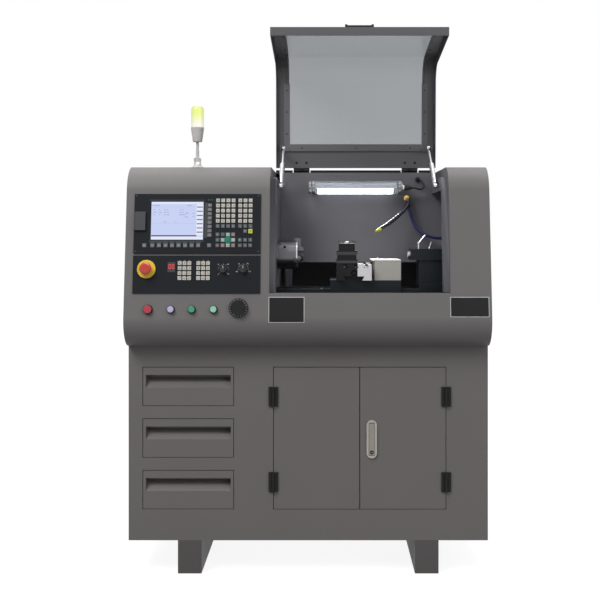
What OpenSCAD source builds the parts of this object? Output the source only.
// CNC lathe in a closed housing on a floor cabinet.
// Millimetres, +Z up, the front faces -Y. The origin lies on the floor, under the middle of the machine.

/* [Cabinet] */
// Width of the cabinet and of the housing on it
body_w = 1210; // [1150:5:1500]
// Depth of the cabinet, front to back
cabinet_d = 610; // [560:5:760]
// Height of the cabinet without its feet
cabinet_h = 656; // [620:2:800]
// Height of the feet
foot_h = 112; // [60:2:180]
// Width of one foot
foot_w = 80; // [50:2:120]
// Distance of each foot's middle from the middle of the machine
foot_offset = 399; // [300:1:450]
// Thickness of the sheet steel
sheet = 2.5; // [1.5:0.1:3]

/* [Drawers and doors] */
// Width of a drawer front
drawer_w = 304; // [240:2:330]
// Height of a drawer front
drawer_h = 128; // [110:2:150]
// Distance from one drawer to the next
drawer_pitch = 173.7; // [160:0.1:185]
// Length of a drawer, front to back
drawer_len = 470; // [380:5:500]
// Width of one door
door_w = 288; // [220:2:310]
// Height of the doors
door_h = 476; // [400:2:500]
// Depth of a door's folded edge
door_depth = 18; // [12:1:25]
// Gap round drawers and doors
panel_gap = 2; // [1:0.5:4]

/* [Housing] */
// Height of the housing above the cabinet
housing_h = 604; // [560:2:680]
// How far the housing's belly stands out in front of the cabinet, and the radius of its round
belly_r = 90; // [70:1:110]
// Radius of the housing's upper front edge
crown_r = 95; // [70:1:120]
// Angle at which the front leans back
lean = 8; // [4:0.5:12]
// Width of the console on the left
console_w = 477.5; // [470:0.5:490]
// Width of the opening over the work area
opening_w = 597.5; // [560:0.5:620]
// Height of the opening's sill above the cabinet
sill_h = 182; // [150:1:200]
// Width of the gutter beside the opening
gutter_w = 17.5; // [12:0.5:24]
// Depth of the gutter
gutter_depth = 34; // [32:1:40]

/* [Lid] */
// Angle at which the lid stands open
lid_open = 88; // [80:1:92]
// Depth of the lid's folded edge
lid_flange = 28; // [20:1:30]
// Gap between the lid and the opening
lid_gap = 2; // [1:0.5:4]
// Width of the clear window
window_w = 512; // [440:2:520]
// Thickness of the clear window
window_t = 4; // [3:0.5:6]

/* [Lathe] */
// Height of the spindle above the cabinet
spindle_h = 302; // [280:1:330]
// Distance of the spindle behind the cabinet's front
spindle_back = 130; // [110:1:160]
// Height of the spindle above the bed's ways
centre_h = 115; // [105:1:125]
// Diameter of the chuck
chuck_dia = 100; // [80:1:110]
// Length of the chuck
chuck_len = 69; // [55:1:80]
// Width of the bed
bed_w = 140; // [120:2:160]
// Diameter of the spindle in its bearings
spindle_dia = 50; // [40:1:56]
// Diameter of the long feed screw
z_screw_dia = 16; // [12:1:20]
// Diameter of the cross feed screw
x_screw_dia = 12; // [10:1:14]
// Side of the square tool post
post_side = 72; // [60:1:80]
// Diameter of the tailstock's quill
quill_dia = 24; // [16:1:26]

/* [Fits] */
// Radial clearance of a shaft that turns or slides in its bore
run = 0.05; // [0.02:0.01:0.09]
// Gap between faces that slide past each other
slide = 0.3; // [0.2:0.05:0.5]

/* [Hidden] */
$fn = 64;
eps = 0.01;       // overlap of joined shapes, and overrun of cuts
far = 4000;       // longer than anything here

// The box of the machine
left_x = -body_w / 2;
right_x = body_w / 2;
front_y = (belly_r - cabinet_d) / 2;       // the cabinet's front
back_y = front_y + cabinet_d;
deck_z = foot_h + cabinet_h;               // the cabinet's top
top_z = deck_z + housing_h;

// The side outline of the housing: two rounds joined by a straight front that leans back
belly_y = front_y;
belly_z = deck_z + belly_r;
crown_z = top_z - crown_r;
crown_y = belly_y + (crown_z - belly_z) * tan(lean) + (crown_r - belly_r) / cos(lean);
fascia_z0 = belly_z + belly_r * sin(lean);
function fascia_y(z) = belly_y - belly_r * cos(lean) + (z - fascia_z0) * tan(lean);

// The opening and the lid
opening_x0 = left_x + console_w;
opening_x1 = opening_x0 + opening_w;
opening_mid = (opening_x0 + opening_x1) / 2;
work_x0 = opening_x0 + gutter_w;
work_x1 = opening_x1 - gutter_w;
sill_z = deck_z + sill_h;
hinge_rise = 7;                            // hinge axis above the deck
hinge_back = 388;                          // hinge axis behind the cabinet's front
lid_edge_back = 10;                        // lid's rear edge in front of the hinge axis
deck_edge_back = 4;                        // deck's front edge in front of the hinge axis
hinge_y = front_y + hinge_back;
hinge_z = top_z + hinge_rise;
lid_rear_y = hinge_y - lid_edge_back;
deck_edge_y = hinge_y - deck_edge_back;
lid_x0 = opening_x0 + lid_gap;
lid_x1 = opening_x1 - lid_gap;
lid_w = lid_x1 - lid_x0;
lip_z = sill_z + lid_gap;
lid_hinge_w = 60;
lid_hinge_xs = [lid_x0 + 94, lid_x1 - 94];

// Floor sheet of the work area
tray_t = 3;
tray_z = deck_z + tray_t;
skin_foot_y = front_y + 26;                // rear edge of the skin's foot on the cabinet
tray_y0 = skin_foot_y + 1;
wall_back = 350;                           // work area's rear wall behind the cabinet's front
wall_y = front_y + wall_back;
wall_bend_z = deck_z + 423;
wall_end_z = deck_z + 270;
wall_lean = 15;                            // how far the wall's lower part comes forward

// The lathe
axis_y = front_y + spindle_back;
axis_z = deck_z + spindle_h;
way_z = axis_z - centre_h;
bed_x0 = work_x0 - 290;
bed_x1 = work_x1 + 92;
chuck_x = work_x0 + 2;
head_x0 = chuck_x - 287;
head_x1 = chuck_x - 27;
head_w = 168;
head_h = 205;
bearing_len = 18;
bearing_dia = spindle_dia + 30;
z_screw_z = way_z - 27;
z_screw_x0 = head_x1 + 10;
saddle_x0 = work_x0 + 185;
saddle_len = 241;
saddle_z = way_z + 30;
slide_x0 = saddle_x0 + 20;
slide_len = 120;
slide_top_z = axis_z - 30;
post_x = slide_x0 + post_side / 2;
post_y = axis_y - post_side / 2 - 18;
post_h = 79;
x_screw_z = saddle_z + 26;
box_x0 = slide_x0 + slide_len + 2;
box_len = saddle_x0 + saddle_len - box_x0;
box_top_z = slide_top_z + 15;
tail_x0 = work_x1 - 99.5;
tail_len = 137;
tail_base_x0 = tail_x0 + 27;
tail_base_len = 90;
tail_w = 104;
tail_top_z = axis_z + 21;
wheel_x = tail_x0 + tail_len + 8;

// The gas struts
strut_off = 267;
strut_r = 9;
rod_r = 4;
strut_eye_t = 10;
strut_low = [front_y + 100, top_z - 62];   // Y and Z of the lower pivot
strut_high = [front_y + 330, top_z + 89];  // Y and Z of the upper pivot with the lid open
strut_dy = strut_high[0] - strut_low[0];
strut_dz = strut_high[1] - strut_low[1];
strut_len = sqrt(strut_dy * strut_dy + strut_dz * strut_dz);
strut_tilt = atan2(strut_dz, strut_dy);
strut_tube_len = 150;
strut_stud_r = 4;
strut_left_x = opening_mid - strut_off;
strut_right_x = opening_mid + strut_off;

// The console
panel_w = 420;
panel_h = 200;
panel_x = left_x + 238;
panel_z = deck_z + 409.5;
panel_t = 5;
machine_h = 125;
machine_z = deck_z + 242;
machine_t = 4;
estop_x = panel_x - 165;
estop_z = machine_z + 17;
knob_z = machine_z + 17;
feed_x = panel_x + 88;
speed_x = panel_x + 154;
row_z = deck_z + 128;
dial_z = deck_z + 133;
button_xs = [panel_x - 158, panel_x - 82.5, panel_x - 13.5, panel_x + 58];
button_rs = [13.5, 10.5, 10.5, 10.5];
dial_x = panel_x + 139.5;
button_stem_r = 8;
button_travel = 5;
screen_w = 175;
screen_h = 129;
screen_off = [-67, 10];                    // screen's middle from the panel's middle

// The cabinet's front
drawer_x0 = left_x + 49;
drawer_zs = [for (i = [0 : 2]) deck_z - 202 - i * drawer_pitch];
door_x0 = left_x + 489;
door_z0 = deck_z - 74 - door_h;
door_mid_gap = 2.7;
door_hinge_r = 6;
door_hinge_h = 66;
door_hinge_leaf = 16;
door_hinge_t = 5;
door_hinge_zs = [door_z0 + 58, door_z0 + 345];
door_pin_y = front_y - door_hinge_r;
left_pin_x = door_x0 - 1.3;
right_door_x0 = door_x0 + door_w + door_mid_gap;
right_pin_x = right_door_x0 + door_w + 1.3;
partition_x = door_x0 - 60;
lock_w = 35;
lock_h = 129;
lock_x = right_door_x0 + 21.5;
lock_z = door_z0 + 171;

// Lamps and hoses
lamp_r = 25;
lamp_x0 = work_x0 + 107;
lamp_len = 355;
lamp_y = front_y + 300;
lamp_z = top_z - 60;
signal_x = left_x + 221;
signal_y = front_y + 88;
signal_fold_z = top_z + 27;
fitting = [work_x0 + 467, wall_y - 24, top_z - 97];
fitting_r = 10;
cable_r = 3.5;
hose_r = 5.5;

// Free run of the lamp's cable, from its gland to the grommet in the rear wall
gland_len = 20;
cable_run = [[0, 0, 0], [8, 0, 0], [16, 0.2, -1.2], [24, 0.8, -3.6], [31.8, 2, -5.4], [39, 5, -5],
             [44.6, 9.4, -0.8], [47.6, 14.6, 5.2], [48, 20.4, 11.8], [46.4, 26, 18.2], [43.2, 31.4, 23.6],
             [39.2, 37, 27.6], [35, 42.6, 30.2], [31.4, 48.4, 31.6], [29.5, 54, 32]];
cable_points = [for (p = cable_run) [lamp_x0 + lamp_len + gland_len, lamp_y, lamp_z] + p];
// Run of the coolant hose at the standard sizes, from the brass fitting down to the pump. With other
// sizes its front goes with the fitting, its rear with the pump, and what lies between with both
tank_pump_x = right_x - 73;
tank_pump_y = back_y - 219;
hose_run = [[365, 66, 1262], [365, 66, 1247], [371, 63, 1221], [378, 58.5, 1196], [389, 52, 1173],
            [404, 45, 1154], [422, 39, 1140.5], [443, 36, 1131.5], [464, 35, 1127.7], [484, 35, 1127],
            [496.4, 36.6, 1127], [508, 41.4, 1127], [517.9, 49.1, 1127], [525.6, 59, 1127],
            [530.4, 70.6, 1127], [532, 83, 1127], [532, 95.4, 1125.4], [532, 107, 1120.6],
            [532, 116.9, 1112.9], [532, 124.6, 1103], [532, 129.4, 1091.4], [532, 131, 1079],
            [532, 131, 1030], [532, 131, 975], [532, 131, 920], [532, 131, 865], [532, 131, 810],
            [532, 131, 755], [532, 131, 700], [532, 131, 645], [532, 131, 590], [532, 131, 535],
            [532, 131, 480], [532, 131, 430], [532, 131, 384]];
hose_front = 2;                            // last point that only follows the fitting
hose_rear = 9;                             // first point that only follows the pump
hose_front_move = fitting + [8, 0, -13] - hose_run[0];
hose_rear_move = [tank_pump_x, tank_pump_y, 0] - [hose_run[34][0], hose_run[34][1], 0];
function rear_part(i) = min(1, max(0, (i - hose_front) / (hose_rear - hose_front)));
hose_points = [for (i = [0 : len(hose_run) - 1])
    hose_run[i] + (1 - rear_part(i)) * hose_front_move + rear_part(i) * hose_rear_move];
nozzle_start = fitting + [5, -13, -5];
nozzle_out = fitting + [19, -34, -33];
nozzle_in = fitting + [-73, -119, -99];
nozzle_end = fitting + [-105, -150, -114];
nozzle_collar_r = 8.5;

paint = [0.42, 0.41, 0.41];
cast_dark = [0.12, 0.15, 0.16];
steel = [0.75, 0.75, 0.76];
black = [0.08, 0.08, 0.08];
panel_dark = [0.17, 0.19, 0.20];

// ---- helpers ----

// A box from its lowest to its highest corner
module box(low, high) translate(low) cube(high - low);
// A cylinder along X, from x0 to x1
module rod_x(x0, x1, r) translate([x0, 0, 0]) rotate([0, 90, 0]) cylinder(h = x1 - x0, r = r);
// A cylinder along Y, from y0 to y1
module rod_y(y0, y1, r) translate([0, y0, 0]) rotate([-90, 0, 0]) cylinder(h = y1 - y0, r = r);

// Points of an arc about centre c, from angle a0 to a1
arc_steps = 20;
function arc(c, r, a0, a1) = [for (i = [0 : arc_steps]) let (a = a0 + (a1 - a0) * i / arc_steps)
    c + r * [cos(a), sin(a)]];
// Side outline of the housing in Y and Z, moved inwards by inset
module outline(inset = 0) polygon(concat(
    arc([belly_y, belly_z], belly_r - inset, 270, 180 - lean),
    arc([crown_y, crown_z], crown_r - inset, 180 - lean, 90),
    [[back_y - inset, top_z - inset], [back_y - inset, deck_z + inset]]));
// Extrudes a shape drawn in Y and Z along X, from x0 to x1
module along_x(x0, x1) translate([x0, 0, 0]) rotate([90, 0, 90]) linear_extrude(x1 - x0) children();
// The band of the outline between two insets
module band(x0, x1, i0, i1) difference() {
    along_x(x0, x1) outline(i0);
    along_x(x0 - 1, x1 + 1) outline(i1);
}
// Keeps what lies over the opening: in front of rear_y and above low_z
module over_opening(rear_y, low_z) intersection() {
    children();
    box([left_x, -far, low_z], [right_x, rear_y, far]);
}
// Places a shape on the leaning front: X to the right, Y up the slope, Z out of it
module on_fascia(x, z) translate([x, fascia_y(z), z]) rotate([90 - lean, 0, 0]) children();
// Turns a shape drawn on the closed lid to the open lid
module opened() translate([0, hinge_y, hinge_z]) rotate([-lid_open, 0, 0])
    translate([0, -hinge_y, -hinge_z]) children();

// Sweeps a round section of sides corners along a list of points, as one closed polyhedron
function unit(v) = v / norm(v);
function heading(p, i) = unit(p[min(i + 1, len(p) - 1)] - p[max(i - 1, 0)]);
function side_of(t, ref) = unit(cross(t, ref));
function ring(c, t, ref, r, sides) = let (u = side_of(t, ref), v = cross(t, u))
    [for (k = [0 : sides - 1]) c + r * (cos(360 * k / sides) * u + sin(360 * k / sides) * v)];
function radius_at(r, i) = is_list(r) ? r[i] : r;
module tube(points, r, sides, ref) {
    n = len(points);
    corners = [for (i = [0 : n - 1]) each ring(points[i], heading(points, i), ref, radius_at(r, i), sides)];
    walls = [for (i = [0 : n - 2], k = [0 : sides - 1]) let (a = i * sides + k,
             b = i * sides + (k + 1) % sides) each [[a, a + sides, b], [b, a + sides, b + sides]]];
    first_cap = [for (k = [1 : sides - 2]) [0, k, k + 1]];
    last_cap = [for (k = [1 : sides - 2]) let (o = (n - 1) * sides) [o, o + k + 1, o + k]];
    polyhedron(corners, concat(walls, first_cap, last_cap));
}

// ---- cabinet ----

module feet() color(paint) for (side = [-1, 1]) difference() {
    box([side * foot_offset - foot_w / 2, front_y, 0], [side * foot_offset + foot_w / 2, back_y - 20, foot_h]);
    box([side * foot_offset - foot_w / 2 + sheet, front_y + sheet, sheet],
        [side * foot_offset + foot_w / 2 - sheet, back_y, foot_h - sheet]);
}

module cabinet_front() color(paint) difference() {
    box([left_x, front_y, foot_h], [right_x, front_y + sheet, deck_z]);
    for (z = drawer_zs)
        box([drawer_x0 - panel_gap, -far, z - panel_gap],
            [drawer_x0 + drawer_w + panel_gap, far, z + drawer_h + panel_gap]);
    box([door_x0 - panel_gap, -far, door_z0 - panel_gap],
        [right_door_x0 + door_w + panel_gap, far, door_z0 + door_h + panel_gap]);
}

ledge_t = 3;
module cabinet_panels() color(paint) {
    y0 = front_y + sheet;
    z0 = foot_h + sheet;
    box([left_x, y0, foot_h], [left_x + sheet, back_y, deck_z]);
    box([right_x - sheet, y0, foot_h], [right_x, back_y, deck_z]);
    box([left_x + sheet, back_y - sheet, foot_h], [right_x - sheet, back_y, deck_z]);
    box([left_x + sheet, y0, foot_h], [right_x - sheet, back_y - sheet, z0]);
    box([partition_x, y0, z0], [partition_x + sheet, back_y - sheet, deck_z]);
    // a frame under the deck, a stop behind the doors' upper edge, and the ledges that carry the drawers
    box([left_x + sheet, y0, deck_z - 30], [partition_x, y0 + 30, deck_z - 30 + sheet]);
    box([partition_x + sheet, y0, deck_z - 40], [right_x - sheet, y0 + 30, deck_z - 40 + sheet]);
    for (z = drawer_zs) {
        ledge_y = front_y + slot_deep + sheet + 2;
        box([left_x + sheet, ledge_y, z + 20 - ledge_t], [drawer_x0 + 14, front_y + drawer_len, z + 20]);
        box([drawer_x0 + drawer_w - 14, ledge_y, z + 20 - ledge_t], [partition_x, front_y + drawer_len, z + 20]);
    }
}

// A drawer front with a folded pull slot, and the tray behind it
slot_low = 60;
slot_high = 103;
slot_deep = 34;
slot_side = 9;
module drawer(z) color(paint) translate([drawer_x0, front_y, z]) {
    difference() {
        cube([drawer_w, slot_deep + sheet, drawer_h]);
        translate([sheet, sheet, sheet]) cube([drawer_w - 2 * sheet, slot_deep, slot_low - 2 * sheet - 6]);
        along_x(slot_side, drawer_w - slot_side)
            polygon([[-eps, slot_low], [slot_deep, slot_high - 12], [slot_deep, slot_high], [-eps, slot_high]]);
        translate([sheet, sheet, slot_high + sheet])
            cube([drawer_w - 2 * sheet, slot_deep - sheet, drawer_h - slot_high - 2 * sheet]);
        along_x(sheet, drawer_w - sheet) polygon([[slot_deep + sheet + eps, slot_high - 22],
            [slot_deep + sheet + eps, slot_low - 4], [sheet + 2, slot_low - 4], [sheet + 2, slot_low - 8]]);
    }
    difference() {
        translate([18, slot_deep + sheet - eps, 20 + slide])
            cube([drawer_w - 36, drawer_len - slot_deep - sheet - 10, 92]);
        translate([18 + sheet, slot_deep + sheet, 20 + slide + sheet])
            cube([drawer_w - 36 - 2 * sheet, drawer_len - slot_deep - 2 * sheet - 10, 100]);
    }
    // hems that run on the ledges
    for (x = [4, drawer_w - 19])
        translate([x, slot_deep + sheet - eps, 20 + slide]) cube([15, drawer_len - slot_deep - 20, 3]);
}

// A folded door with its hinge leaves; pin_side is -1 for pins on the left and 1 on the right
module door(x0, pin_side) {
    color(paint) difference() {
        box([x0, front_y, door_z0], [x0 + door_w, front_y + door_depth, door_z0 + door_h]);
        box([x0 + sheet, front_y + sheet, door_z0 + sheet],
            [x0 + door_w - sheet, front_y + door_depth + eps, door_z0 + door_h - sheet]);
    }
    pin_x = pin_side < 0 ? left_pin_x : right_pin_x;
    color(black) for (z = door_hinge_zs) {
        third = door_hinge_h / 3;
        difference() {
            union() {
                translate([pin_x, door_pin_y, z + third]) cylinder(h = third, r = door_hinge_r - slide);
                box([min(pin_x, pin_x - pin_side * door_hinge_leaf), front_y - door_hinge_t, z + third],
                    [max(pin_x, pin_x - pin_side * door_hinge_leaf), front_y, z + 2 * third]);
                box([min(pin_x - pin_side * (door_hinge_r + 1), pin_x - pin_side * door_hinge_leaf),
                     front_y - door_hinge_t, z],
                    [max(pin_x - pin_side * (door_hinge_r + 1), pin_x - pin_side * door_hinge_leaf),
                     front_y, z + door_hinge_h]);
            }
            translate([pin_x, door_pin_y, z - eps]) cylinder(h = door_hinge_h + 1, r = 3 + run);
        }
    }
}

// Fixed hinge leaves with their pins, four for the doors and two for the lid
module fixed_door_leaf(pin_x, pin_side, z) {
    third = door_hinge_h / 3;
    for (k = [0, 2]) translate([pin_x, door_pin_y, z + k * third + (k ? slide : 0)])
        cylinder(h = third - slide, r = door_hinge_r - slide);
    translate([pin_x, door_pin_y, z]) cylinder(h = door_hinge_h, r = 3);
    for (k = [0, 2]) box([min(pin_x, pin_x + pin_side * door_hinge_leaf), front_y - door_hinge_t,
                          z + k * third + (k ? slide : 0)],
                         [max(pin_x, pin_x + pin_side * door_hinge_leaf), front_y,
                          z + (k + 1) * third - (k ? 0 : slide)]);
    box([min(pin_x + pin_side * (door_hinge_r + 1), pin_x + pin_side * door_hinge_leaf),
         front_y - door_hinge_t, z],
        [max(pin_x + pin_side * (door_hinge_r + 1), pin_x + pin_side * door_hinge_leaf), front_y,
         z + door_hinge_h]);
}
knuckle_r = 4.5;
lid_pin_r = 2.5;
lid_leaf_t = 3;
lid_leaf_len = 34;
edge_t = 2.5;                              // thickness and height of the strip on the deck's edge
edge_h = 9;
edge_from_hinge = lid_hinge_w / 2 + 3;
module hinge_leaves() color(black) {
    for (z = door_hinge_zs) {
        fixed_door_leaf(left_pin_x, -1, z);
        fixed_door_leaf(right_pin_x, 1, z);
    }
    for (x = lid_hinge_xs) {
        third = lid_hinge_w / 3;
        translate([x - lid_hinge_w / 2, hinge_y, hinge_z]) {
            rod_x(0, lid_hinge_w, lid_pin_r);
            for (k = [0, 2]) {
                rod_x(k * third, (k + 1) * third - slide, knuckle_r);
                translate([k * third, 0, -hinge_rise]) cube([third - slide, lid_leaf_len, lid_leaf_t]);
                translate([k * third, 0, -hinge_rise]) cube([third - slide, knuckle_r, hinge_rise]);
            }
            translate([0, knuckle_r + 2, -hinge_rise]) cube([lid_hinge_w, lid_leaf_len - knuckle_r - 2, lid_leaf_t]);
        }
    }
    // upright strip along the deck's front edge, in three lengths between the lid's hinges
    for (ends = [[opening_x0, lid_hinge_xs[0] - edge_from_hinge], [lid_hinge_xs[0] + edge_from_hinge,
                  lid_hinge_xs[1] - edge_from_hinge], [lid_hinge_xs[1] + edge_from_hinge, opening_x1]])
        box([ends[0], deck_edge_y, top_z + run], [ends[1], deck_edge_y + edge_t, top_z + edge_h]);
}

lever_t = 9;
lock_t = 6;
module lock_plate() color(steel) difference() {
    translate([lock_x + lock_w / 2, front_y, lock_z]) rotate([90, 0, 0]) linear_extrude(lock_t) {
        translate([0, lock_w / 2]) circle(r = lock_w / 2);
        translate([0, lock_h - lock_w / 2]) circle(r = lock_w / 2);
        translate([-lock_w / 2, lock_w / 2]) square([lock_w, lock_h - lock_w]);
    }
    // the seat that the lever folds into
    box([lock_x + 8, -far, lock_z + 10], [lock_x + lock_w - 8, front_y - 2, lock_z + lock_h - 8]);
}
lever_pin_z = lock_z + lock_h - 15;
module lock_lever() color(steel) difference() {
    union() {
        box([lock_x + 8.5, front_y - lever_t, lock_z + 12], [lock_x + lock_w - 8.5, front_y - 2.4, lever_pin_z]);
        translate([0, front_y - 5.6, lever_pin_z]) rod_x(lock_x + 8.5, lock_x + lock_w - 8.5, 3.2);
    }
    translate([lock_x + lock_w / 2, 0, lock_z + 21]) rod_y(front_y - 20, front_y, 5 + run);
}
module lock_barrel() color(steel) translate([lock_x + lock_w / 2, 0, lock_z + 21]) difference() {
    rod_y(front_y - lever_t - 0.6, front_y - 2.4, 5);
    box([-0.8, front_y - 20, -3], [0.8, front_y - lever_t + 2, 3]);
}

// ---- housing ----

button_hole_gap = 0.5;
module housing_skin() color(paint) difference() {
    band(left_x, right_x, 0, sheet);
    box([left_x - 1, skin_foot_y, deck_z - 1], [right_x + 1, far, deck_z + sheet + 2]);
    box([left_x - 1, back_y - sheet - eps, -far], [right_x + 1, far, top_z - sheet]);
    box([opening_x0, -far, sill_z], [opening_x1, deck_edge_y, far]);
    on_fascia(panel_x, panel_z) box([-panel_w / 2 + 10, -panel_h / 2 + 10, -20],
                                    [panel_w / 2 - 10, panel_h / 2 - 10, 20]);
    on_fascia(panel_x, machine_z) box([-panel_w / 2 + 10, -machine_h / 2 + 10, -20],
                                      [panel_w / 2 - 10, machine_h / 2 - 10, 20]);
    for (i = [0 : 3]) on_fascia(button_xs[i], row_z)
        translate([0, 0, -20]) cylinder(h = 40, r = button_stem_r + button_hole_gap);
    on_fascia(dial_x, dial_z) translate([0, 0, -20]) cylinder(h = 40, r = 5 + button_hole_gap);
}

// Gutter beside the opening, from the skin's cut edge to the return that faces the work area
module gutter(x_edge, x_work) {
    step = x_work > x_edge ? sheet : -sheet;
    low = min(x_edge - step, x_work);
    high = max(x_edge - step, x_work);
    over_opening(deck_edge_y, sill_z) band(low, high, gutter_depth, gutter_depth + sheet);
    over_opening(deck_edge_y, sill_z)
        band(min(x_edge - step, x_edge), max(x_edge - step, x_edge), sheet, gutter_depth + eps);
}
return_depth = 80;
strut_pin_len = 6;
module strut_bracket(x, side) translate([x, strut_low[0], strut_low[1]]) {
    // a stud that carries the strut's lower eye
    rod_x(side < 0 ? -strut_left_x + work_x0 + slide : -strut_pin_len, side < 0 ? strut_pin_len
          : work_x1 - strut_right_x - slide, strut_stud_r);
}
spindle_hole_r = 44;
module housing_plates() color(paint) {
    for (x = [left_x, right_x - sheet]) along_x(x, x + sheet) end_outline();
    // left bulkhead, with the gutter, and ways through for the spindle and the bed
    difference() {
        union() {
            along_x(work_x0 - sheet, work_x0) union() {
                outline(gutter_depth);
                translate([tray_y0 + 1, tray_z]) square([back_y - sheet - 2 - tray_y0 - 1, 80]);
            }
            gutter(opening_x0, work_x0);
        }
        translate([0, axis_y, axis_z]) rod_x(-far, work_x0 + 1, spindle_hole_r);
        box([-far, axis_y - bed_w / 2 - 8, 0], [work_x0 + 1, axis_y + bed_w / 2 + 8, way_z + 2]);
    }
    // right frame: only the gutter and a return, because the work area runs on behind it
    union() {
        gutter(opening_x1, work_x1);
        over_opening(wall_y - 1, sill_z) band(work_x1, work_x1 + sheet, gutter_depth, return_depth);
    }
    strut_bracket(strut_left_x, -1);
    strut_bracket(strut_right_x, 1);
    // back cover
    box([left_x + sheet, back_y - sheet, deck_z], [right_x - sheet, back_y, top_z - sheet]);
}
module end_outline() union() {
    outline(sheet);
    translate([skin_foot_y, deck_z]) square([back_y - sheet - skin_foot_y, 20]);
}

grommet_r = 7;
module splash_sheets() color(paint) difference() {
    union() {
        // rear wall of the work area, folded once
        along_x(work_x0 + slide, right_x - sheet - slide) polygon([
            [wall_y, top_z - sheet - 1], [wall_y, wall_bend_z], [wall_y - wall_lean, wall_end_z],
            [wall_y - wall_lean + sheet, wall_end_z], [wall_y + sheet, wall_bend_z + 1],
            [wall_y + sheet, top_z - 2 * sheet - 1], [wall_y + 50, top_z - 2 * sheet - 1],
            [wall_y + 50, top_z - sheet - 1]]);
        // floor tray under the bed
        difference() {
            box([left_x + sheet + 1, tray_y0, deck_z], [right_x - sheet - 1, back_y - sheet - 1, tray_z + 22]);
            box([left_x + sheet + 3, tray_y0 + 2, tray_z], [right_x - sheet - 3, back_y - sheet - 3, far]);
            // the bulkhead stands in a gap of the upstands
            box([work_x0 - sheet - slide, -far, tray_z], [work_x0 + slide, far, far]);
        }
        // posts that hold the wall's lower edge
        for (x = [work_x0 + 20, right_x - 60])
            box([x, wall_y - wall_lean + sheet, tray_z], [x + 25, wall_y - wall_lean + 2 * sheet, wall_end_z + 20]);
    }
    // room for the right gutter and the lid's folded edge
    box([work_x1 - 1, -far, top_z - gutter_depth - sheet - 1], [opening_x1 + sheet + 1, far, far]);
    // grommet hole of the lamp's cable, and the hose's two ways through
    translate([cable_points[14][0], 0, cable_points[14][2]]) rod_y(wall_y - 20, wall_y + 10, grommet_r);
    translate([hose_points[15][0], 0, hose_points[15][2]]) rod_y(wall_y - 40, wall_y + 10, hose_r + 8);
    translate([tank_pump_x, tank_pump_y, deck_z - 5]) cylinder(h = 20, r = hose_r + 4);
}

// ---- lathe ----

module bed() color([0.2, 0.22, 0.23]) difference() {
    y0 = axis_y - bed_w / 2;
    y1 = axis_y + bed_w / 2;
    union() {
        box([bed_x0, y0, way_z - 70], [bed_x1, y1, way_z - 8]);
        box([bed_x0, y0 + 12, way_z - 100], [bed_x1, y1 - 12, way_z - 70]);
        for (x = [bed_x0, bed_x1 - 160]) {
            box([x, y0 - 6, tray_z], [x + 160, y1 + 6, tray_z + 18]);
            box([x + 10, y0 + 6, tray_z], [x + 150, y1 - 6, way_z - 90]);
        }
        box([bed_x0, y0, way_z - 20], [bed_x1, y0 + 26, way_z]);
        box([bed_x0, y1 - 26, way_z - 20], [bed_x1, y1, way_z]);
    }
    // channel for the feed screw
    box([bed_x0 - 1, axis_y - 24, way_z - 52], [bed_x1 + 1, axis_y + 24, way_z + 1]);
    // undercuts that the saddle's keepers hold
    for (side = [-1, 1]) box([bed_x0 - 1, axis_y + side * (bed_w / 2 + 1) - 9, way_z - 20 - 14],
                             [bed_x1 + 1, axis_y + side * (bed_w / 2 + 1) + 9, way_z - 20]);
}

module headstock() color([0.2, 0.22, 0.23]) difference() {
    union() {
        box([head_x0, axis_y - head_w / 2, way_z], [head_x1, axis_y + head_w / 2, way_z + head_h]);
        // bearing block of the feed screw's left end
        box([z_screw_x0 + 2, axis_y - 22, z_screw_z - 18], [z_screw_x0 + 16, axis_y + 22, z_screw_z + 18]);
        box([head_x1 - 8, axis_y - 22, z_screw_z - 18], [z_screw_x0 + 4, axis_y + 22, way_z + 6]);
    }
    translate([0, axis_y, axis_z]) {
        rod_x(head_x0 - 1, head_x1 + 1, spindle_dia / 2 + 4);
        rod_x(head_x0 - 1, head_x0 + bearing_len, bearing_dia / 2 + run);
        rod_x(head_x1 - bearing_len, head_x1 + 1, bearing_dia / 2 + run);
    }
    translate([0, axis_y, z_screw_z]) rod_x(z_screw_x0 - 30, z_screw_x0 + 30, z_screw_dia / 2 + run);
    // hollow of the casting, between its bearing walls
    box([head_x0 + 30, axis_y - head_w / 2 + 15, way_z + 15],
        [head_x1 - 30, axis_y + head_w / 2 - 15, axis_z - spindle_dia / 2 - 14]);
}

module spindle_bearings() color(steel) for (x = [head_x0, head_x1 - bearing_len])
    translate([0, axis_y, axis_z]) difference() {
        rod_x(x + 0.5, x + bearing_len - 0.5, bearing_dia / 2);
        rod_x(x - 1, x + bearing_len + 1, spindle_dia / 2 + run);
    }

motor_len = 150;
motor_side = 150;
z_motor_side = 60;
z_motor_len = 46;
module motors() color(black) {
    // spindle motor, hollow, on the headstock's rear face
    difference() {
        box([head_x0 - motor_len, axis_y - motor_side / 2, axis_z - motor_side / 2],
            [head_x0, axis_y + motor_side / 2, axis_z + motor_side / 2]);
        translate([0, axis_y, axis_z]) rod_x(-far, head_x0 + 1, spindle_dia / 2 - 2);
        for (dy = [-1, 1], dz = [-1, 1])
            translate([0, axis_y + dy * motor_side / 2, axis_z + dz * motor_side / 2])
                rotate([45, 0, 0]) box([-far, -14, -14], [head_x0 - 12, 14, 14]);
    }
    // feed motor on the bed's end
    difference() {
        box([bed_x1, axis_y - z_motor_side / 2, z_screw_z - z_motor_side / 2],
            [bed_x1 + z_motor_len, axis_y + z_motor_side / 2, z_screw_z + z_motor_side / 2]);
        translate([0, axis_y, z_screw_z]) rod_x(bed_x1 - 1, bed_x1 + 25, z_screw_dia / 2 + run);
    }
}

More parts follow.
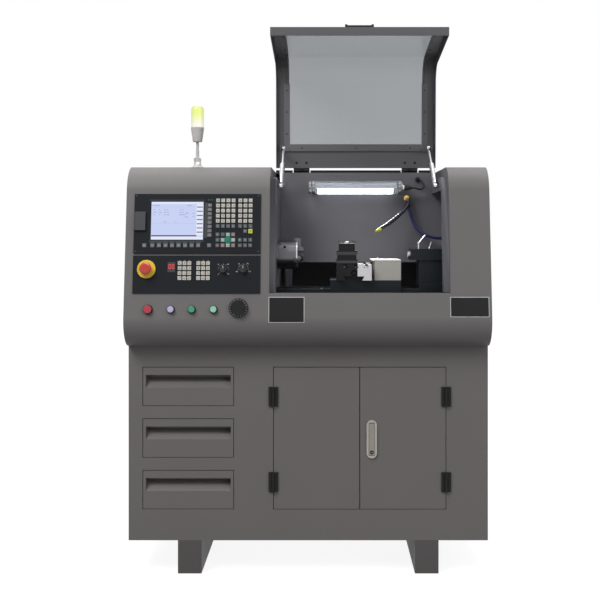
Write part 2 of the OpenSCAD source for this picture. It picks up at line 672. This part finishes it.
module spindle() color(steel) translate([0, axis_y, axis_z]) difference() {
    union() {
        rod_x(head_x0 + slide, chuck_x - 17, spindle_dia / 2);
        rod_x(head_x0 - motor_len + 20, head_x0 + slide + eps, spindle_dia / 2 - 5);
        rod_x(chuck_x - 18, chuck_x, 40);
    }
    rod_x(-far, far, 10);
}

jaw_w = 14;
jaw_slot = 12;
jaw_gap = 0.4;
jaw_r0 = 13;
jaw_r1 = 58;
jaw_nose = 20;
jaw_angles = [110, 230, 350];
module chuck_body() color(steel) translate([0, axis_y, axis_z]) difference() {
    union() {
        rod_x(chuck_x, chuck_x + chuck_len, chuck_dia / 2);
    }
    rod_x(chuck_x - 1, chuck_x + chuck_len + 1, 12.5);
    rod_x(chuck_x + chuck_len - 1.5, chuck_x + chuck_len + 1, 22);
    for (a = jaw_angles) rotate([a, 0, 0])
        box([chuck_x + chuck_len - jaw_slot - jaw_gap, -jaw_w / 2 - jaw_gap, 8],
            [chuck_x + chuck_len + 1, jaw_w / 2 + jaw_gap, chuck_dia]);
    // key holes of the scroll's pinions
    for (a = jaw_angles) rotate([a + 66, 0, 0])
        translate([chuck_x + 25, 0, chuck_dia / 2 - 12]) cylinder(h = 20, r = 5);
}
module chuck_jaw(angle) color(steel) translate([0, axis_y, axis_z]) rotate([angle, 0, 0]) {
    x1 = chuck_x + chuck_len;
    box([x1 - jaw_slot, -jaw_w / 2, jaw_r0], [x1 + jaw_nose / 2, jaw_w / 2, jaw_r1]);
    box([x1, -jaw_w / 2, jaw_r0], [x1 + jaw_nose, jaw_w / 2, jaw_r0 + 13]);
}

module z_screw() color(steel) translate([0, axis_y, z_screw_z]) rod_x(z_screw_x0, bed_x1 + 22, z_screw_dia / 2);

dovetail_w = 70;
dovetail_h = 14;
keeper_y = bed_w / 2 + slide;
module saddle() color([0.2, 0.22, 0.23]) difference() {
    x1 = saddle_x0 + saddle_len;
    union() {
        box([saddle_x0, axis_y - bed_w / 2 - 14, way_z + slide], [x1, axis_y + bed_w / 2 + 14, saddle_z]);
        // aprons that hang over the ways, with keepers under them
        for (side = [-1, 1]) {
            translate([0, axis_y + side * (keeper_y + 7), 0]) box([saddle_x0, -7, way_z - 32], [x1, 7, way_z + 1]);
            translate([0, axis_y + side * (bed_w / 2 - 2), 0])
                box([saddle_x0, -5.5, way_z - 32], [x1, 5.5, way_z - 20 - slide]);
        }
        // nut of the long feed screw
        box([saddle_x0 + 50, axis_y - 20, z_screw_z - 17], [saddle_x0 + 110, axis_y + 20, way_z + 1]);
        // the cross way and the rear bearing wall of the cross feed screw
        translate([slide_x0 + slide_len / 2, axis_y + bed_w / 2 + 14, saddle_z - eps]) rotate([90, 0, 0])
            linear_extrude(bed_w + 28) polygon([[-dovetail_w / 2 + 8, 0], [dovetail_w / 2 - 8, 0],
                [dovetail_w / 2, dovetail_h], [-dovetail_w / 2, dovetail_h]]);
        box([slide_x0 + 20, axis_y + bed_w / 2 + 14 - eps, way_z + slide],
            [slide_x0 + slide_len - 20, axis_y + bed_w / 2 + 60, saddle_z]);
        box([slide_x0 + 20, axis_y + bed_w / 2 + 44, saddle_z - eps],
            [slide_x0 + slide_len - 20, axis_y + bed_w / 2 + 60, x_screw_z + 14]);
    }
    translate([0, axis_y, z_screw_z]) rod_x(saddle_x0 - 1, x1, z_screw_dia / 2 + run);
    translate([slide_x0 + slide_len / 2, 0, x_screw_z]) rod_y(axis_y, far, x_screw_dia / 2 + run);
}

slide_y0 = axis_y - 105;
slide_y1 = axis_y + 75;
module cross_slide() color(steel) difference() {
    box([slide_x0, slide_y0, saddle_z + slide], [slide_x0 + slide_len, slide_y1, slide_top_z]);
    translate([slide_x0 + slide_len / 2, 0, 0]) {
        // the dovetail, wider than the cross way by the sliding gap
        translate([0, slide_y1 + 1, saddle_z - eps]) rotate([90, 0, 0])
            linear_extrude(slide_y1 - slide_y0 + 2) polygon([[-dovetail_w / 2 + 8 - slide, 0],
                [dovetail_w / 2 - 8 + slide, 0], [dovetail_w / 2 + slide, dovetail_h + slide],
                [-dovetail_w / 2 - slide, dovetail_h + slide]]);
        translate([0, 0, x_screw_z]) {
            rod_y(slide_y0 - 1, slide_y1 + 1, x_screw_dia / 2 + run);
            rod_y(slide_y0 - 1, slide_y0 + 30, x_screw_dia / 2 + 4);
            rod_y(slide_y1 - 70, slide_y1 + 1, x_screw_dia / 2 + 4);
        }
        // T-slots in the top
        for (x = [-30, 6, 42]) {
            box([x - 4, slide_y0 - 1, slide_top_z - 8], [x + 4, slide_y1 + 1, slide_top_z + 1]);
            box([x - 8, slide_y0 - 1, slide_top_z - 12], [x + 8, slide_y1 + 1, slide_top_z - 6]);
        }
    }
}
module x_screw() color(steel) translate([slide_x0 + slide_len / 2, 0, x_screw_z])
    rod_y(axis_y - 100, axis_y + bed_w / 2 + 56, x_screw_dia / 2);

// Four-way tool post, a bolted stack with a slot all round for the tools
module tool_post() color(black) translate([post_x, post_y, slide_top_z]) {
    s = post_side / 2;
    difference() {
        union() {
            box([-s, -s, 0.2], [s, s, 17]);
            box([-s + 3.5, -s + 3.5, 16], [s - 3.5, s - 3.5, 34]);
            box([-s, -s, 33], [s, s, 46]);
            box([-s + 9, -s + 3, 45], [s - 9, s - 3, post_h - 8]);
        }
        for (side = [-1, 1]) box([side * (s - 9) - 4, -s + 16, 49], [side * (s - 9) + 4, s - 16, 66]);
    }
    for (x = [-1, 1], y = [-1, 1]) translate([x * (s - 12), y * (s - 9), post_h - 8])
        cylinder(h = 8, r = 5.5, $fn = 6);
    translate([0, 0, post_h - 8]) cylinder(h = 6, r = 11);
}

module x_motor_box() color([0.75, 0.73, 0.69]) {
    y0 = axis_y - 80;
    y1 = axis_y + 84;
    difference() {
        box([box_x0 + 9, y0, saddle_z], [box_x0 + box_len, y1, box_top_z - 3]);
        box([box_x0 + 9 + sheet, y0 + sheet, saddle_z - 1], [box_x0 + box_len - sheet, y1 - sheet, box_top_z - 5]);
    }
    box([box_x0, y0 - 1, box_top_z - 3], [box_x0 + box_len, y1 + 1, box_top_z]);
    translate([box_x0 + 22, axis_y - 20, box_top_z]) cylinder(h = 7, r = 2.5);
}

module tailstock() color(cast_dark) difference() {
    union() {
        box([tail_x0, axis_y - tail_w / 2, axis_z - 17], [tail_x0 + tail_len, axis_y + tail_w / 2, tail_top_z]);
        box([tail_base_x0, axis_y - tail_w / 2 + 8, way_z + 20],
            [tail_base_x0 + tail_base_len, axis_y + tail_w / 2 - 8, axis_z - 16]);
        box([tail_base_x0, axis_y - bed_w / 2, way_z + slide],
            [tail_base_x0 + tail_base_len, axis_y + bed_w / 2, way_z + 20 + eps]);
        // tenon between the ways
        box([tail_base_x0 + 4, axis_y - 23, way_z - 12], [tail_base_x0 + tail_base_len - 4, axis_y + 23, way_z + 1]);
    }
    translate([0, axis_y, axis_z]) rod_x(tail_x0 - 1, tail_x0 + tail_len + 1, quill_dia / 2 + run);
    for (p = lever_seats) translate([p[0], p[1], tail_top_z - 14]) cylinder(h = 20, r = 4 + run);
}
lever_seats = [[tail_x0 + 29, axis_y - 18], [tail_x0 + 66, axis_y - 24]];
quill_x0 = tail_x0 - 8;
module quill() color(steel) translate([0, axis_y, axis_z]) difference() {
    rod_x(quill_x0, tail_x0 + tail_len - 20, quill_dia / 2);
    // taper for a centre, and the feed screw's bore
    translate([quill_x0 - eps, 0, 0]) rotate([0, 90, 0]) cylinder(h = 50, r1 = 8, r2 = 6.8);
    rod_x(tail_x0 + 60, far, 6 + run);
}
module tailstock_wheel() color(steel) translate([0, axis_y, axis_z]) {
    rod_x(tail_x0 + 70, wheel_x + 4, 6);
    difference() {
        rod_x(wheel_x, wheel_x + 14, 45);
        rod_x(wheel_x + 6, wheel_x + 15, 36);
    }
    rod_x(wheel_x, wheel_x + 14, 12);
    translate([0, 0, 38]) rod_x(wheel_x + 13, wheel_x + 34, 5);
}
// A clamp lever: a stem in its seat, and a bar that rises to one side
module lever(p, lift, rise, out) color(steel) translate([p[0], p[1], tail_top_z]) {
    translate([0, 0, -12]) cylinder(h = 12 + lift, r = 4);
    translate([0, 0, lift]) rotate([0, out, 0]) cylinder(h = rise, r = 3);
    translate([0, 0, lift]) sphere(r = 4);
}

// ---- lid ----

lid_side = 30;                             // width of the frame's face beside the clamp strips
window_seat = 8;                           // how far the window lies under the frame
window_x0 = opening_mid - window_w / 2;
window_x1 = opening_mid + window_w / 2;
lid_back_strip = 67;                       // solid part of the lid next to its hinges
window_end_z = lip_z + 12;
module lid_frame() color(paint) opened() difference() {
    union() {
        over_opening(lid_rear_y, lip_z) band(lid_x0, lid_x1, 0, sheet);
        for (x = [lid_x0, lid_x1 - sheet]) over_opening(lid_rear_y, lip_z) band(x, x + sheet, sheet, lid_flange);
        // lip across the lower edge
        over_opening(lid_rear_y, lip_z) intersection() {
            band(lid_x0, lid_x1, sheet, lid_flange);
            box([lid_x0, -far, 0], [lid_x1, far, lip_z + sheet]);
        }
        strut_lug(strut_left_x, -1);
        strut_lug(strut_right_x, 1);
    }
    box([window_x0 + window_seat, -far, window_end_z + window_seat],
        [window_x1 - window_seat, lid_rear_y - lid_back_strip - window_seat, far]);
}
// Lug under the lid's skin whose stud ends beside the strut's upper eye
closed_high = [hinge_y + (strut_high[0] - hinge_y) * cos(lid_open) - (strut_high[1] - hinge_z) * sin(lid_open),
               hinge_z + (strut_high[0] - hinge_y) * sin(lid_open) + (strut_high[1] - hinge_z) * cos(lid_open)];
module strut_lug(x, side) {
    lug_x = x + side * 12;
    box([lug_x - 1.5, closed_high[0] - 10, closed_high[1] - 6], [lug_x + 1.5, closed_high[0] + 10, top_z - sheet / 2]);
    stud = 12 - strut_eye_t / 2 - slide;
    translate([min(lug_x, lug_x - side * stud), closed_high[0], closed_high[1]]) rod_x(0, stud, strut_stud_r);
}
module lid_window() color([0.7, 0.75, 0.78, 0.4]) opened() over_opening(lid_rear_y - lid_back_strip, window_end_z)
    band(window_x0, window_x1, sheet + 0.2, sheet + 0.2 + window_t);

strip_t = 3;
strip_w = 22;
strip_out = 12;                            // how far a strip reaches past the window's edge
strip_y = lid_rear_y - lid_back_strip - strip_w;
module lid_fittings() opened() {
    strip_i = sheet + 0.2 + window_t + 0.1;
    // strips that clamp the window, on the flat top, on the front and along the hinge side
    color(paint) for (x = [window_x0 - strip_out, window_x1 + strip_out - strip_w]) {
        box([x, crown_y, top_z - strip_i - strip_t], [x + strip_w, strip_y + strip_w + 4, top_z - strip_i]);
        over_opening(crown_y - crown_r, window_end_z) intersection() {
            band(x, x + strip_w, strip_i, strip_i + strip_t);
            box([-far, -far, 0], [far, far, crown_z]);
        }
    }
    color(paint) box([window_x0 - strip_out + strip_w + 1, strip_y, top_z - strip_i - strip_t],
        [window_x1 + strip_out - strip_w - 1, strip_y + strip_w + 4, top_z - strip_i]);
    // bow handle on the lip: two black feet and a bar
    color(black) on_fascia(opening_mid, lip_z + 22) for (x = [-48, 40]) box([x, -7, 0], [x + 8, 7, 14]);
    color(steel) on_fascia(opening_mid, lip_z + 22) translate([0, 0, 9]) rod_x(-40, 40, 4);
    // moving hinge wings
    color(black) for (x = lid_hinge_xs) difference() {
        third = lid_hinge_w / 3;
        translate([x - lid_hinge_w / 2, hinge_y, hinge_z]) union() {
            rod_x(third, 2 * third - slide, knuckle_r);
            translate([third, -lid_leaf_len, -hinge_rise]) cube([third - slide, lid_leaf_len, lid_leaf_t]);
            translate([third, -knuckle_r, -hinge_rise]) cube([third - slide, knuckle_r, hinge_rise]);
            translate([0, -lid_leaf_len, -hinge_rise])
                cube([lid_hinge_w, lid_leaf_len - knuckle_r - 1, lid_leaf_t]);
        }
        translate([0, hinge_y, hinge_z]) rod_x(-far, far, lid_pin_r + run);
    }
}

// Strut frame: X of the strut, and local Y along it from the lower to the upper pivot
module on_strut(x) translate([x, strut_low[0], strut_low[1]]) rotate([strut_tilt, 0, 0]) children();
module strut_tube(x) color(steel) on_strut(x) difference() {
    union() {
        rod_y(12, strut_tube_len, strut_r);
        rod_y(0, 14, 4.5);
        translate([-strut_eye_t / 2, 0, 0]) rod_x(0, strut_eye_t, 8);
    }
    rod_x(-20, 20, strut_stud_r + run);
    rod_y(20, strut_tube_len + 1, rod_r + run);
}
module strut_rod(x) color(steel) on_strut(x) {
    rod_y(110, strut_len - 6, rod_r);
    translate([-strut_eye_t / 2, strut_len, 0]) rod_x(0, strut_eye_t, 8);
}

// ---- console ----

module operator_panel() color(panel_dark) on_fascia(panel_x, panel_z) {
    difference() {
        union() {
            box([-panel_w / 2, -panel_h / 2, 0], [panel_w / 2, panel_h / 2, panel_t]);
            box([-panel_w / 2 + 12, -panel_h / 2 + 12, -58], [panel_w / 2 - 12, panel_h / 2 - 12, eps]);
        }
        translate([screen_off[0], screen_off[1], 0])
            box([-screen_w / 2, -screen_h / 2, panel_t - 2], [screen_w / 2, screen_h / 2, panel_t + 1]);
    }
}
machine_body = 40;
module machine_panel() color(panel_dark) on_fascia(panel_x, machine_z) difference() {
    union() {
        box([-panel_w / 2, -machine_h / 2, 0], [panel_w / 2, machine_h / 2, machine_t]);
        box([-panel_w / 2 + 12, -machine_h / 2 + 12, -machine_body], [panel_w / 2 - 12, machine_h / 2 - 12, eps]);
        // collars of the emergency stop and of the two override knobs
        translate([estop_x - panel_x, (estop_z - machine_z) / cos(lean), 0]) cylinder(h = machine_t + 6, r = 30);
        for (x = [feed_x, speed_x]) translate([x - panel_x, (knob_z - machine_z) / cos(lean), 0])
            cylinder(h = machine_t + 1.5, r = 13);
    }
    translate([estop_x - panel_x, (estop_z - machine_z) / cos(lean), -machine_body / 2])
        cylinder(h = machine_body, r = 11 + run);
    for (x = [feed_x, speed_x]) translate([x - panel_x, (knob_z - machine_z) / cos(lean), -machine_body / 2])
        cylinder(h = machine_body, r = 3 + run);
}
// A stem in the panel and a mushroom head on it
module emergency_button() color("red") on_fascia(estop_x, estop_z) {
    translate([0, 0, -8]) cylinder(h = 28, r = 11);
    translate([0, 0, 17]) cylinder(h = 10, r1 = 16, r2 = 20);
    translate([0, 0, 27 - eps]) cylinder(h = 5, r1 = 20, r2 = 14);
}
module push_button(i, tint) color(tint) on_fascia(button_xs[i], row_z) {
    translate([0, 0, -14]) cylinder(h = 14 + 3.5 + button_travel, r = button_stem_r);
    translate([0, 0, 3 + button_travel]) cylinder(h = 5, r = button_rs[i]);
}
module knob(x) color(black) on_fascia(x, knob_z) {
    translate([0, 0, -8]) cylinder(h = 16, r = 3);
    difference() {
        translate([0, 0, machine_t + 1.5 + slide]) cylinder(h = 15, r = 12);
        for (side = [-1, 1]) translate([0, 0, machine_t + 8]) box([side * 11 - 6, -20, 0], [side * 11 + 6, 20, 20]);
    }
}
module pulse_dial() color(black) on_fascia(dial_x, dial_z) {
    translate([0, 0, -20]) cylinder(h = 22, r = 5);
    translate([0, 0, 1.5]) cylinder(h = 10, r = 30);
    translate([0, 0, 11]) cylinder(h = 6, r = 25);
    translate([18, 0, 16]) cylinder(h = 7.5, r = 5);
}
port_w = 36;
port_h = 62;
port_t = 8;
port_x = panel_x - panel_w / 2 + 3;
port_z = panel_z + 8;
module port_door() color([0.27, 0.28, 0.29]) on_fascia(port_x, port_z) {
    box([2, -port_h / 2, panel_t + slide], [port_w, port_h / 2, panel_t + port_t]);
    translate([0, -port_h / 2, panel_t + port_t - 3]) rotate([-90, 0, 0]) cylinder(h = port_h, r = 2.5);
}

// ---- lamps and coolant ----

module work_lamp() color([0.85, 0.87, 0.9]) {
    translate([0, lamp_y, lamp_z]) difference() {
        rod_x(lamp_x0 + 12, lamp_x0 + lamp_len - 12, lamp_r - 1);
        rod_x(lamp_x0 + 14, lamp_x0 + lamp_len - 14, lamp_r - 4);
    }
    // end caps, each in a clamp on a foot that reaches the wall
    for (x = [lamp_x0, lamp_x0 + lamp_len - 12]) {
        translate([0, lamp_y, lamp_z]) rod_x(x, x + 12, lamp_r);
        box([x + 2, lamp_y + lamp_r - 4, lamp_z - 14], [x + 10, wall_y, lamp_z + 14]);
    }
    // cable gland
    translate([lamp_x0 + lamp_len - 1, lamp_y, lamp_z]) rod_x(0, 4, 10);
    translate([lamp_x0 + lamp_len, lamp_y, lamp_z]) rod_x(0, gland_len, 6);
}
module lamp_cable() color(black) tube(cable_points, cable_r, 8, [0.2, 0.3, 1]);

module coolant_hose() color([0.16, 0.17, 0.5]) tube(hose_points, hose_r, 8, [0.7, -0.5, 0.5]);

// Brass elbow on the wall, and the foot that carries the signal lamp's fold
module small_fittings() {
    color([0.8, 0.6, 0.28]) {
        translate([fitting[0], 0, fitting[2]]) rod_y(fitting[1] + 8, wall_y, 7);
        translate([fitting[0], 0, fitting[2]]) rod_y(fitting[1] - 8, fitting[1] + 10, fitting_r);
        translate(hose_points[0] + [0, 0, run]) cylinder(h = 12, r = hose_r + 1.5);
    }
    color([0.8, 0.8, 0.8]) translate([signal_x, signal_y, top_z]) difference() {
        union() {
            cylinder(h = 4, r = 21);
            for (x = [-11, 7]) box([x, -7, 3], [x + 4, 7, signal_fold_z - top_z + 7]);
        }
        translate([0, 0, signal_fold_z - top_z]) rod_x(-20, 20, 3 + run);
    }
}
function curve(t) = pow(1 - t, 3) * nozzle_start + 3 * t * pow(1 - t, 2) * nozzle_out
    + 3 * t * t * (1 - t) * nozzle_in + pow(t, 3) * nozzle_end;
nozzle_links = 17;
link_radii = [5.6, 6.9, 7.2, 6.9];
module coolant_nozzle() color([0.16, 0.17, 0.5]) {
    n = 4 * nozzle_links;
    aim = unit(curve(1) - curve(0.95));
    // collar that turns on the fitting's face, beads along the curve, then the tip
    translate([fitting[0], 0, fitting[2]])
        rod_y(nozzle_start[1] - 1, fitting[1] - 8 - run, nozzle_collar_r);
    tube(concat([for (i = [0 : n]) curve(i / n)], [curve(1) + 6 * aim, curve(1) + 26 * aim]),
         concat([for (i = [0 : n]) link_radii[i % 4]], [6.2, 3]), 12, [0, 0.7, -0.6]);
}

// Tank in the cabinet, with the pump on its rim
module coolant_unit() color([0.3, 0.32, 0.33]) {
    tank = [[right_x - 305, back_y - 310, foot_h + sheet], [right_x - 35, back_y - 50, foot_h + sheet + 190]];
    difference() {
        box(tank[0], tank[1]);
        box(tank[0] + [2, 2, 2], tank[1] + [-2, -2, 1]);
    }
    z1 = tank[1][2];
    translate([tank_pump_x, tank_pump_y, z1]) {
        box([-45, tank[0][1] - tank_pump_y, 0], [tank[1][0] - tank_pump_x, tank[1][1] - tank_pump_y, 5]);
        cylinder(h = 60, r = 30);
        translate([0, 0, -140]) cylinder(h = 141, r = 16);
        cylinder(h = hose_points[len(hose_points) - 1][2] - z1, r = 9);
    }
}

lens_z = top_z + 139;
module signal_lamp() color([0.9, 0.93, 0.6]) translate([signal_x, signal_y, 0]) {
    translate([0, 0, signal_fold_z]) rod_x(-13, 13, 3);
    box([-7 + slide, -6, signal_fold_z - 6], [7 - slide, 6, signal_fold_z + 10]);
    translate([0, 0, signal_fold_z + 9]) cylinder(h = lens_z - 50 - signal_fold_z - 8, r = 5);
    translate([0, 0, lens_z - 50]) cylinder(h = 50, r1 = 16.5, r2 = 23);
    translate([0, 0, lens_z]) rotate_extrude() {
        square([23, 60]);
        square([10, 74]);
        translate([9, 60]) intersection() {
            circle(r = 14);
            square(20);
        }
    }
}

feet();
cabinet_front();
cabinet_panels();
housing_skin();
housing_plates();
splash_sheets();
bed();
headstock();
spindle_bearings();
motors();
work_lamp();
lamp_cable();
coolant_hose();
operator_panel();
machine_panel();
hinge_leaves();
coolant_unit();
small_fittings();
lid_frame();
lid_window();
lid_fittings();
strut_tube(strut_left_x);  // strut_tube_left
strut_tube(strut_right_x);  // strut_tube_right
strut_rod(strut_left_x);  // strut_rod_left
strut_rod(strut_right_x);  // strut_rod_right
drawer(drawer_zs[0]);  // drawer_top
drawer(drawer_zs[1]);  // drawer_middle
drawer(drawer_zs[2]);  // drawer_bottom
door(door_x0, -1);  // door_left
door(right_door_x0, 1);  // door_right
lock_plate();
lock_lever();
lock_barrel();
spindle();
chuck_body();
chuck_jaw(jaw_angles[0]);  // chuck_jaw_1
chuck_jaw(jaw_angles[1]);  // chuck_jaw_2
chuck_jaw(jaw_angles[2]);  // chuck_jaw_3
saddle();
cross_slide();
tool_post();
z_screw();
x_screw();
x_motor_box();
tailstock();
quill();
tailstock_wheel();
lever(lever_seats[0], 20, 36, 40);  // quill_lever
lever(lever_seats[1], 4, 22, 18);  // clamp_lever
emergency_button();
push_button(0, "red");  // button_red
push_button(1, "lavender");  // button_lavender
push_button(2, "seagreen");  // button_green
push_button(3, "lightgreen");  // button_pale
knob(feed_x);  // feed_knob
knob(speed_x);  // speed_knob
pulse_dial();
port_door();
signal_lamp();
coolant_nozzle();
